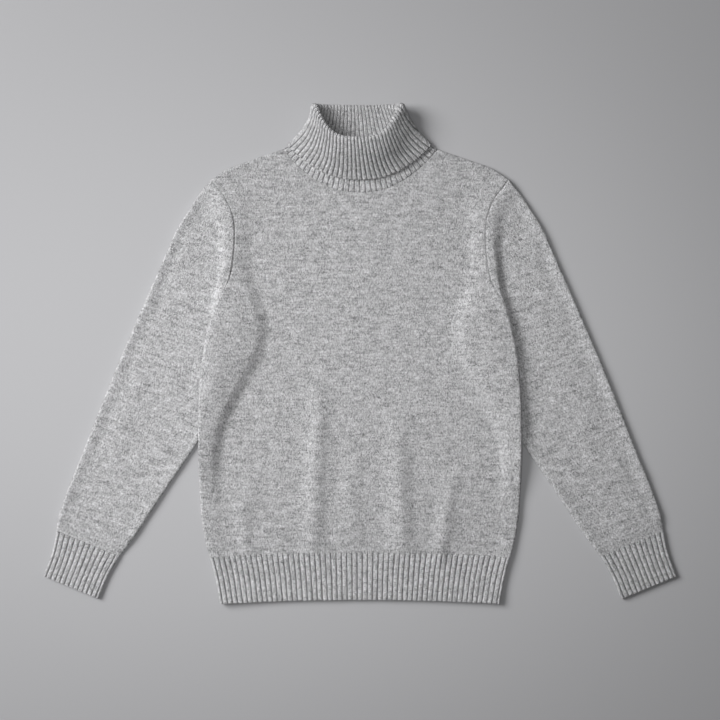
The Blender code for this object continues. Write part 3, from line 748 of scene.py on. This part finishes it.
def sleeve(name, sign, material):
    """Sleeve: rings from the armhole seam to the cuff, each once round the flat tube."""
    down, inner_down, across, width, plan = sleeve_plan()
    length = lengths(OUTER_LINE)[-1]
    from_head = (down * length)[:, None]
    from_foot = (1.0 - down) * length
    x = plan[..., 0]
    y = plan[..., 1]
    from_outer = across * width
    mitre = mix(FOLD_REACH / UNDERARM_MITRE, 1.0, ease(inner_down / MITRE_SHARE))[:, None]
    from_inner = (1.0 - across) * width * mitre
    roll = rounded(from_outer) * rounded(from_inner)
    low = sleeve_level(x, y)
    level = ease(down / HEAD_SHARE)[:, None] * ease((1.0 - down) / FOOT_SHARE)[:, None]
    puff = with_bumps(0.0, from_outer, OUTER_PUFF)
    puff = with_bumps(puff, from_inner, INNER_PUFF) * level
    place, swell_width, height = CUFF_SWELL
    swell = height * (bell(from_foot - place, swell_width) * ease(from_foot / SWELL_START))[:, None]
    swell = swell * ease(from_inner / SWELL_INNER) * ease(from_outer / SWELL_OUTER)
    high = low + JERSEY_STACK + puff + swell
    seam = SEAM_DIP * bell(from_head * np.ones_like(across), SEAM_WIDTH)
    folds = LEFT_SLEEVE_FOLDS if sign < 0 else RIGHT_SLEEVE_FOLDS
    waves = ripple(x, y, SLEEVE_RIPPLE_TURN * sign) * level * SLEEVE_RIPPLE
    top = laid(low, high, roll, True)
    top += (fold_height(x, y, folds) * level + waves - seam) * roll
    top = np.minimum(top, body_underside(x, y))
    shift_x, shift_y = BACK_FOLD_SHIFT
    under_folds = np.maximum(fold_height(x + shift_x, y + shift_y, folds), 0.0)
    bottom = laid(low, low + JERSEY_STACK, roll, False)
    bottom += (under_folds * level + seam * BACK_SEAM) * roll
    bottom = np.minimum(bottom, top - SEAM_GAP)
    front_grid = np.stack([sign * x, y, top], axis=-1)
    back_grid = np.stack([sign * x, y, bottom], axis=-1)[:, ::-1]
    grid = np.concatenate([front_grid, back_grid], axis=1)
    normal = outward(grid_normals(grid, True), grid, True, True)
    knit = sleeve_stitches(grid, sign)
    return shell(name, grid, grid - normal * JERSEY_WALL, knit, True, material)


def rib_profile(ribs):
    """Height of the ribs, from 0 on a ridge down to -1 in a groove, at places counted in ribs."""
    return np.abs(np.sin(math.pi * ribs)) ** RIB_ROUNDNESS - 1.0


def section(half, low, high, front):
    """Half of a flat tube's section, from one folded edge to the other: (across, height)."""
    angle = np.linspace(0.0, math.pi / 2.0, SECTION_POINTS)
    middle = (low + high) / 2.0
    side = half - FOLD_REACH * (1.0 - np.cos(angle))
    rise = (high - low) / 2.0 * np.sin(angle) * (1.0 if front else -1.0)
    left = np.stack([-side, middle + rise], axis=-1)
    right = np.stack([side[::-1], middle + rise[::-1]], axis=-1)
    return np.concatenate([left, right])


def rib_rows(even_rows):
    """Shares down a rib: close rows at its joint and at its free edge, and even ones between."""
    return np.concatenate([RIB_HEAD, np.linspace(*RIB_EVEN, even_rows), RIB_FOOT])


def hem_panel(name, front, material):
    """Front or back half of the hem rib."""
    count = HEM_RIBS * RIB_POINTS + 1
    shares = rib_rows(HEM_EVEN_ROWS)
    grid = np.zeros((len(shares), count, 3))
    ribs = np.linspace(0.0, HEM_RIBS, count)
    for index, share in enumerate(shares):
        half = float(column(HEM_SIDE, 1, mix(HEM_SIDE[-1][0], HEM_SIDE[0][0], share)))
        row = along(section(half, 0.0, RIB_STACK, front), np.linspace(0.0, 1.0, count))
        x = row[:, 0]
        from_centre = x / half
        upper = joint_y(from_centre * SIDE[0][1]) - SEAM_GAP / 2.0
        lower = HEM_CENTRE_Y - HEM_DROP * from_centre * from_centre
        y = mix(upper, lower, share)
        roll = rounded(half - np.abs(x))
        lift = with_bumps(HEM_LIFT, x, HEM_LIFT_BUMPS)
        z = row[:, 1] + lift * ease((share - HEM_LIFT_START) / (1.0 - HEM_LIFT_START))
        if front:
            _, puff = body_level(x, y)
            folds = fold_height(x, y, FRONT_FOLDS) * HEM_FOLD
            z += (puff + folds + ripple(x, y) * HEM_RIPPLE) * roll
        else:
            z += np.maximum(fold_height(x, y, BACK_FOLDS), 0.0) * roll * HEM_BACK_FOLD
        grid[index] = np.stack([x, y, z], axis=-1)
    return ribbed(name, grid, ribs, shares * HEM_LENGTH, False, front, material)


def scalloped(grid, ribs, reach, depth):
    """Grid whose last edge stands out at each rib."""
    down = grid[-1] - grid[-2]
    down = down / np.linalg.norm(down, axis=1, keepdims=True)
    ends = bell(reach[-1] - reach, SCALLOP_REACH)[:, None, None]
    return grid + down[None] * ends * (rib_profile(ribs) * depth)[None, :, None]


def ribbed(name, grid, ribs, reach, closed, front, material):
    """Rib cloth on a grid of points: ridges and grooves outside, and a scalloped free edge."""
    normal = outward(grid_normals(grid, closed), grid, closed, front)
    fade = ease(reach / RIB_FADE)[:, None]
    groove = rib_profile(ribs)[None, :] * RIB_DEPTH * fade
    grid = scalloped(grid, ribs, reach, EDGE_SCALLOP)
    outer = grid + normal * groove[..., None]
    inner = grid - normal * RIB_WALL
    if closed:
        ribs = np.concatenate([ribs, [ribs[-1] + ribs[1] - ribs[0]]])
    course = reach[:, None] * np.ones_like(ribs)[None, :]
    knit = np.stack([np.ones((len(reach), 1)) * ribs[None, :], course / RIB_COURSE], axis=-1)
    return shell(name, outer, inner, knit, closed, material)


def cuff(name, sign, material):
    """Cuff: a flat tube of rib."""
    shares = rib_rows(CUFF_EVEN_ROWS)
    count = 2 * CUFF_RIBS * RIB_POINTS
    grid = np.zeros((len(shares), count, 3))
    for index, share in enumerate(shares):
        gap = cuff_gap() * (share == 0.0)
        outer = along(CUFF_OUTER_LINE, share) + gap
        inner = along(CUFF_INNER_LINE, share) + gap
        half = float(np.linalg.norm(inner - outer)) / 2.0
        heading = (inner - outer) / (2.0 * half)
        middle = (inner + outer) / 2.0
        top = section(half, 0.0, RIB_STACK, True)
        bottom = section(half, 0.0, RIB_STACK, False)[::-1]
        loop = np.concatenate([top, bottom[1:]])
        row = along(loop, np.arange(count) / count)
        plan = middle + row[:, :1] * heading
        grid[index] = np.stack([sign * plan[:, 0], plan[:, 1], row[:, 1]], axis=-1)
    ribs = np.arange(count) / RIB_POINTS
    return ribbed(name, grid, ribs, shares * CUFF_LENGTH, True, True, material)


def stand_row(along_share):
    """Dense points once round the stand at a share of its height, from the front centre line."""
    values = [float(column(STAND, index, along_share)) for index in range(1, FLAP)]
    half, side_y, side_z, front_y, front_z, back_y, back_z, square, curve = values
    share = np.sin(np.linspace(0.0, math.pi / 2.0, STAND_POINTS))
    fullness = np.sqrt(np.maximum(1.0 - share**square, 0.0))
    bow = 1.0 - share**curve

    def quarter(centre_y, centre_z):
        y = side_y + (centre_y - side_y) * bow
        z = side_z + (centre_z - side_z) * fullness
        return np.stack([half * share, y, z], axis=-1)

    front = quarter(front_y, front_z)
    back = quarter(back_y, back_z)
    right = np.concatenate([front, back[-2::-1]])
    left = right[-2::-1] * np.array([-1.0, 1.0, 1.0])
    return np.concatenate([right, left])


def turned_round(row, shift):
    """Closed row of points, shifted round by a number of points."""
    whole = int(math.floor(shift))
    return mix(np.roll(row, -whole, axis=0), np.roll(row, -whole - 1, axis=0), shift - whole)


def collar_grid():
    """Middle surface of the collar, in rows from the neckline up, over the rim and down the flap."""
    count = COLLAR_RIBS * RIB_POINTS
    places = np.arange(count) / count
    stand_shares = np.linspace(0.0, 1.0, STAND_ROWS)
    stand = np.array([along(stand_row(share), places) for share in stand_shares])
    fuller = 1.0 + SIDE_ROLL * (np.abs(stand[-1, :, 0]) / STAND[-1][1]) ** 4
    fuller = fuller[:, None]
    stand[..., 0] -= TOP_LEAN * stand_shares[:, None] ** 2
    up = np.gradient(stand, axis=0)
    up /= np.linalg.norm(up, axis=2, keepdims=True)
    round_ = np.roll(stand, -1, axis=1) - np.roll(stand, 1, axis=1)
    out = np.cross(round_, up)
    out /= np.linalg.norm(out, axis=2, keepdims=True)
    radius = STAND[-1][FLAP] / 2.0 * fuller
    rows = list(stand)
    for step in range(1, RIM_ROWS):
        turn = math.pi * step / RIM_ROWS
        over = out[-1] * radius * (1.0 - math.cos(turn))
        rows.append(stand[-1] + over + up[-1] * radius * math.sin(turn))
    for share in np.linspace(1.0, FLAP_END, FLAP_ROWS):
        place = share * (STAND_ROWS - 1)
        below = min(int(place), STAND_ROWS - 2)
        base = mix(stand[below], stand[below + 1], place - below)
        heading = mix(out[below], out[below + 1], place - below)
        heading = heading / np.linalg.norm(heading, axis=1, keepdims=True)
        level = (share - FLAP_END) / (1.0 - FLAP_END)
        offset = float(column(STAND, FLAP, share))
        row = base + heading * offset * mix(1.0, fuller, level)
        shift = FLAP_TWIST * RIB_POINTS * (1.0 - share) / (1.0 - FLAP_END)
        rows.append(turned_round(row, shift))
    return np.array(rows)


def collar(name, material):
    """Collar: the stand, the rolled rim and the flap, as one cloth with ribs on both faces."""
    grid = collar_grid()
    count = grid.shape[1]
    reach = lengths(grid[:, 0])
    course = np.array([lengths(grid[:, index]) for index in range(count)]).T
    course = np.concatenate([course, course[:, :1]], axis=1)
    normal = grid_normals(grid, True)
    if np.mean(normal[-1, : count // 8, 1]) > 0:
        normal = -normal
    ribs = np.arange(count) / RIB_POINTS
    on_flap = ease((np.arange(len(grid)) - STAND_ROWS) / RIM_ROWS)
    depth = COLLAR_RIB_DEPTH * mix(STAND_DEPTH, 1.0, on_flap)
    half_wall = (depth + COLLAR_GROOVE_WALL / 2.0)[:, None]
    groove = rib_profile(ribs)[None, :] * depth[:, None] * ease(reach / RIB_FADE)[:, None]
    groove *= 1.0 - FLAP_HEM * bell(reach[-1] - reach, FLAP_HEM_REACH)[:, None]
    grid = scalloped(grid, ribs, reach, FLAP_SCALLOP)
    outer = grid + normal * (half_wall + groove)[..., None]
    inner = grid - normal * (half_wall + groove)[..., None]
    wide = np.concatenate([ribs, [COLLAR_RIBS]])
    knit = np.stack([np.ones((len(reach), 1)) * wide[None, :], course / RIB_COURSE], axis=-1)
    return shell(name, outer, inner, knit, True, material)


# ---------------------------------------------------------------- materials

TINT = (0.999, 0.997, 1.016)    # a very slightly cool grey
JERSEY_GREY = 0.451
# the sleeves are the body's jersey made lighter: painted light for the extra light they catch
SLEEVE_PAINTED_LIGHT_GREY = 0.472
RIB_GREY = 0.458
JERSEY_LOOK = {
    "ribbed": False,
    "stitch_depth": 0.7,        # height of the bumps, in millimetres
    "slope": 0.9,               # how far a V's legs run down, in courses
    "wobble": 1.0,              # how much the wales waver
    "cells": 2.0,               # specks across a wale
    "clouds": (0.12, 0.21),     # how fast the clouds change, across and down
    "melange": 1.04,            # strength of all the unevenness
    "shares": (0.70, 0.78, 0.15, 0.75, 0.35, 2.5),  # specks, clouds, blotches, streaks, grain, fibres
    "relief_painted_shade": 0.36,             # how much of a stitch's height shows as painted light and shade
}
RIB_LOOK = {
    "ribbed": True,
    "stitch_depth": 1.2,
    "slope": 0.8,
    "wobble": 0.4,
    "cells": 5.0,
    "clouds": (0.33, 0.29),
    "melange": 0.65,
    "shares": (1.0, 0.55, 0.15, 0.50, 0.50, 4.6),
    "relief_painted_shade": 0.55,
}
STREAKS = (0.17, 0.75)          # how fast the streaks of the yarn change, across and down
GRAIN_SCALE = 430.0             # these are noise in space, in cells a metre
WOBBLE_SCALE = 260.0
BLOTCH_SCALE = 170.0
FIBRE_SCALE = 1100.0
WOBBLE = 0.30                   # in wales
STRAND_SHARE = 0.7              # share of a stitch's height that rises and falls along the wale
RIB_LOBE_POWER = 5.0            # how square a rib's stitches are across
RIB_START_SEED = 7.0            # each rib's courses start at a height of their own
RELIEF_LEVEL = 0.6              # height within a stitch where the painted light and shade leave the colour as it is
GROOVE_WIDTH = 0.22             # share of half a rib that is in the groove and gets painted shade
GROOVE_PAINTED_SHADE = 0.26             # painted shade at the groove's bottom
FIBRE_BUMP = 0.35               # bumps of the fuzz, as shares of the stitch's
GRAIN_BUMP = 0.9
BLOTCH_BUMP = 0.4
CLOUD_BUMP = 1.2
CLOTH_SHADER = {
    "Roughness": 0.93,
    "Specular IOR Level": 0.15,
    "Sheen Weight": 0.15,
    "Sheen Roughness": 0.5,
}


class Knit:
    """Small helper that adds shader nodes and links them."""

    def __init__(self, name):
        self.material = bpy.data.materials.new(name)
        self.material.use_nodes = True
        self.tree = self.material.node_tree
        self.shader = self.tree.nodes["Principled BSDF"]

    def link(self, value, socket):
        """Give a socket a number, or the output of another node."""
        if isinstance(value, (int, float)):
            socket.default_value = value
        else:
            self.tree.links.new(value, socket)

    def math(self, operation, first, second=None, third=None):
        node = self.tree.nodes.new("ShaderNodeMath")
        node.operation = operation
        for index, value in enumerate((first, second, third)):
            if value is not None:
                self.link(value, node.inputs[index])
        return node.outputs[0]

    def noise(self, vector, scale, detail=2.0, roughness=0.5):
        node = self.tree.nodes.new("ShaderNodeTexNoise")
        node.inputs["Scale"].default_value = scale
        node.inputs["Detail"].default_value = detail
        node.inputs["Roughness"].default_value = roughness
        self.link(vector, node.inputs["Vector"])
        return node.outputs["Fac"]

    def vector(self, x, y, z=0.0):
        node = self.tree.nodes.new("ShaderNodeCombineXYZ")
        for index, value in enumerate((x, y, z)):
            self.link(value, node.inputs[index])
        return node.outputs[0]

    def smooth_step(self, value, low, high):
        node = self.tree.nodes.new("ShaderNodeMapRange")
        node.interpolation_type = "SMOOTHSTEP"
        node.inputs["From Min"].default_value = low
        node.inputs["From Max"].default_value = high
        self.link(value, node.inputs["Value"])
        return node.outputs["Result"]

    def random(self, vector):
        node = self.tree.nodes.new("ShaderNodeTexWhiteNoise")
        node.noise_dimensions = "3D"
        self.link(vector, node.inputs["Vector"])
        return node.outputs["Value"]


def knit_material(name, grey, look):
    """Melange knit: V stitches from the piece's stitch coordinates, with specks and clouds."""
    knit = Knit(name)
    ribbed_cloth = look["ribbed"]
    melange = look["melange"]
    relief_painted_shade = look["relief_painted_shade"]
    uv = knit.tree.nodes.new("ShaderNodeUVMap")
    uv.uv_map = "stitches"
    place = knit.tree.nodes.new("ShaderNodeTexCoord").outputs["Object"]
    split = knit.tree.nodes.new("ShaderNodeSeparateXYZ")
    knit.tree.links.new(uv.outputs["UV"], split.inputs[0])
    wale = split.outputs["X"]
    course = split.outputs["Y"]

    def stretched(across, down):
        return knit.vector(knit.math("MULTIPLY", wale, across), knit.math("MULTIPLY", course, down))

    # One stitch: a V whose two legs run down from the middle of the wale
    grain = knit.noise(place, GRAIN_SCALE, 2.0, 0.7)
    wobble = knit.math("SUBTRACT", knit.noise(place, WOBBLE_SCALE, 1.0), 0.5)
    wobble = knit.math("MULTIPLY", wobble, WOBBLE)
    u = knit.math("ADD", wale, knit.math("MULTIPLY", wobble, look["wobble"]))
    side = knit.math("ABSOLUTE", knit.math("SUBTRACT", knit.math("FRACT", u), 0.5))
    leg = knit.math("MULTIPLY", side, 2.0)
    phase = knit.math("SUBTRACT", course, knit.math("MULTIPLY", leg, look["slope"]))
    phase = knit.math("ADD", phase, wobble)
    if ribbed_cloth:
        rib_start = knit.random(knit.vector(knit.math("FLOOR", u), RIB_START_SEED))
        phase = knit.math("ADD", phase, rib_start)
    strand = knit.math("COSINE", knit.math("MULTIPLY", phase, 2.0 * math.pi))
    strand = knit.math("MULTIPLY_ADD", strand, 0.5, 0.5)
    if ribbed_cloth:
        lobe = knit.math("SUBTRACT", 1.0, knit.math("POWER", leg, RIB_LOBE_POWER))
    else:
        lobe = knit.math("SQRT", knit.math("SINE", knit.math("MULTIPLY", leg, math.pi)))
    strand = knit.math("MULTIPLY_ADD", strand, STRAND_SHARE, 1.0 - STRAND_SHARE)
    height = knit.math("MULTIPLY", lobe, strand)

    # Shade: unevenness of every size in the yarn's tone, then painted light and shade on each stitch's
    # bumps and in a rib's grooves
    cell = knit.math("FLOOR", knit.math("MULTIPLY", u, look["cells"]))
    speck = knit.random(knit.vector(cell, knit.math("FLOOR", phase)))
    clouds = knit.noise(stretched(*look["clouds"]), 1.0, 3.0, 0.6)
    blotch = knit.noise(place, BLOTCH_SCALE, 2.0, 0.6)
    streak = knit.noise(stretched(*STREAKS), 1.0, 1.0)
    fibre = knit.noise(place, FIBRE_SCALE, 1.0, 0.6)
    shade = 1.0
    for source, share in zip((speck, clouds, blotch, streak, grain, fibre), look["shares"]):
        centred = knit.math("SUBTRACT", source, 0.5)
        shade = knit.math("MULTIPLY_ADD", centred, share * melange, shade)
    # painted light and shade: a stitch's high parts lighter, its low parts darker
    stitch_shade = knit.math("MULTIPLY_ADD", height, relief_painted_shade, 1.0 - RELIEF_LEVEL * relief_painted_shade)
    shade = knit.math("MULTIPLY", shade, stitch_shade)
    if ribbed_cloth:
        # painted shade in the rib's grooves, darkest at their bottom
        ridge = knit.smooth_step(knit.math("SUBTRACT", 1.0, leg), 0.0, GROOVE_WIDTH)
        ridge = knit.math("MULTIPLY_ADD", ridge, 1.0 - GROOVE_PAINTED_SHADE, GROOVE_PAINTED_SHADE)
        shade = knit.math("MULTIPLY", shade, ridge)
    shade = knit.math("MULTIPLY", shade, grey)
    colour = knit.tree.nodes.new("ShaderNodeCombineColor")
    for channel, share in zip(("Red", "Green", "Blue"), TINT):
        knit.link(knit.math("MULTIPLY", shade, share), colour.inputs[channel])
    knit.tree.links.new(colour.outputs[0], knit.shader.inputs["Base Color"])

    # Bumps: the stitches and the fuzz on them
    fuzz = knit.math("MULTIPLY_ADD", fibre, FIBRE_BUMP, height)
    for source, share in ((grain, GRAIN_BUMP), (blotch, BLOTCH_BUMP), (clouds, CLOUD_BUMP)):
        fuzz = knit.math("MULTIPLY_ADD", source, share * melange, fuzz)
    bump = knit.tree.nodes.new("ShaderNodeBump")
    bump.inputs["Strength"].default_value = 1.0
    bump.inputs["Distance"].default_value = look["stitch_depth"] * MM
    knit.link(fuzz, bump.inputs["Height"])
    knit.tree.links.new(bump.outputs[0], knit.shader.inputs["Normal"])
    for socket, value in CLOTH_SHADER.items():
        knit.shader.inputs[socket].default_value = value
    return knit.material


# ---------------------------------------------------------------- stage

VIEW_CENTRE = (0.0, -8.8 * MM)
VIEW_WIDTH = 1.116
CAMERA_HEIGHT = 3.2
SENSOR_WIDTH = 36.0
FLOOR_HALF = 6.0
FLOOR_SHADER = {
    "Base Color": (0.385, 0.3845, 0.3945, 1.0),
    "Roughness": 0.9,
    "Specular IOR Level": 0.1,
}
KEY_PLACE = (-2.75, 1.07, 2.45)
KEY_SIZE = 2.3
KEY_POWER = 184.0
TOP_PLACE = (-0.12, -0.03, 3.1)
TOP_RADIUS = 0.3
TOP_CONE = 25.0         # degrees
TOP_STRETCH = 1.45      # its pool of light is wider than long
TOP_POWER = 149.0
SKY_STRENGTH = 0.1


def floor():
    """Plain sheet of grey paper under the sweater."""
    mesh = bpy.data.meshes.new("floor")
    ends = ((-1.0, -1.0), (1.0, -1.0), (1.0, 1.0), (-1.0, 1.0))
    corners = [(x * FLOOR_HALF, y * FLOOR_HALF, 0.0) for x, y in ends]
    mesh.from_pydata(corners, [], [(0, 1, 2, 3)])
    item = put("floor", mesh)
    material = bpy.data.materials.new("floor_paper")
    material.use_nodes = True
    shader = material.node_tree.nodes["Principled BSDF"]
    for socket, value in FLOOR_SHADER.items():
        shader.inputs[socket].default_value = value
    mesh.materials.append(material)


def put_light(light, place, aim, stretch=1.0):
    """Hang a light up, turned to what it is aimed at."""
    item = put(light.name, light)
    item.location = place
    item.scale = (stretch, 1.0, 1.0)
    item.rotation_euler = (Vector(aim) - Vector(place)).to_track_quat("-Z", "Y").to_euler()


def stage():
    """Floor, a large lamp at the upper left, a soft spot, a dim sky, and the view from above."""
    floor()
    key = bpy.data.lights.new("key_light", "AREA")
    key.shape = "DISK"
    key.size = KEY_SIZE
    key.energy = KEY_POWER
    put_light(key, KEY_PLACE, (0.0, 0.0, 0.0))
    top = bpy.data.lights.new("top_light", "SPOT")
    top.shadow_soft_size = TOP_RADIUS
    top.spot_size = math.radians(TOP_CONE)
    top.spot_blend = 1.0
    top.energy = TOP_POWER
    put_light(top, TOP_PLACE, (TOP_PLACE[0], TOP_PLACE[1], 0.0), TOP_STRETCH)
    bpy.context.scene.view_settings.view_transform = "Standard"
    world = bpy.data.worlds.new("studio")
    world.use_nodes = True
    background = world.node_tree.nodes["Background"]
    background.inputs["Color"].default_value = (1.0, 1.0, 1.0, 1.0)
    background.inputs["Strength"].default_value = SKY_STRENGTH
    bpy.context.scene.world = world
    camera = bpy.data.cameras.new("camera")
    camera.sensor_width = SENSOR_WIDTH
    camera.lens = SENSOR_WIDTH * CAMERA_HEIGHT / VIEW_WIDTH
    item = put("camera", camera)
    item.location = (VIEW_CENTRE[0], VIEW_CENTRE[1], CAMERA_HEIGHT)
    bpy.context.scene.camera = item


# ---------------------------------------------------------------- the sweater


def main():
    jersey = knit_material("jersey_melange", JERSEY_GREY, JERSEY_LOOK)
    # a lighter copy of the jersey for the sleeves: painted light
    sleeve_jersey_painted_light = knit_material("sleeve_melange", SLEEVE_PAINTED_LIGHT_GREY, JERSEY_LOOK)
    rib = knit_material("rib_melange", RIB_GREY, RIB_LOOK)
    back = body_panel("back_cloth", False, jersey)
    fit_in(back, "back_panel")
    front = body_panel("front_cloth", True, jersey)
    fit_in(front, "front_panel")
    hem_back = hem_panel("hem_back_cloth", False, rib)
    fit_in(hem_back, "hem_rib_back")
    hem_front = hem_panel("hem_front_cloth", True, rib)
    fit_in(hem_front, "hem_rib_front")
    for side, sign in (("left", -1.0), ("right", 1.0)):
        piece = sleeve("sleeve_%s_cloth" % side, sign, sleeve_jersey_painted_light)
        fit_in(piece, "sleeve_%s" % side)
        piece = cuff("cuff_%s_cloth" % side, sign, rib)
        fit_in(piece, "cuff_%s" % side)
    piece = collar("collar_cloth", rib)
    fit_in(piece, "collar")
    stage()


main()
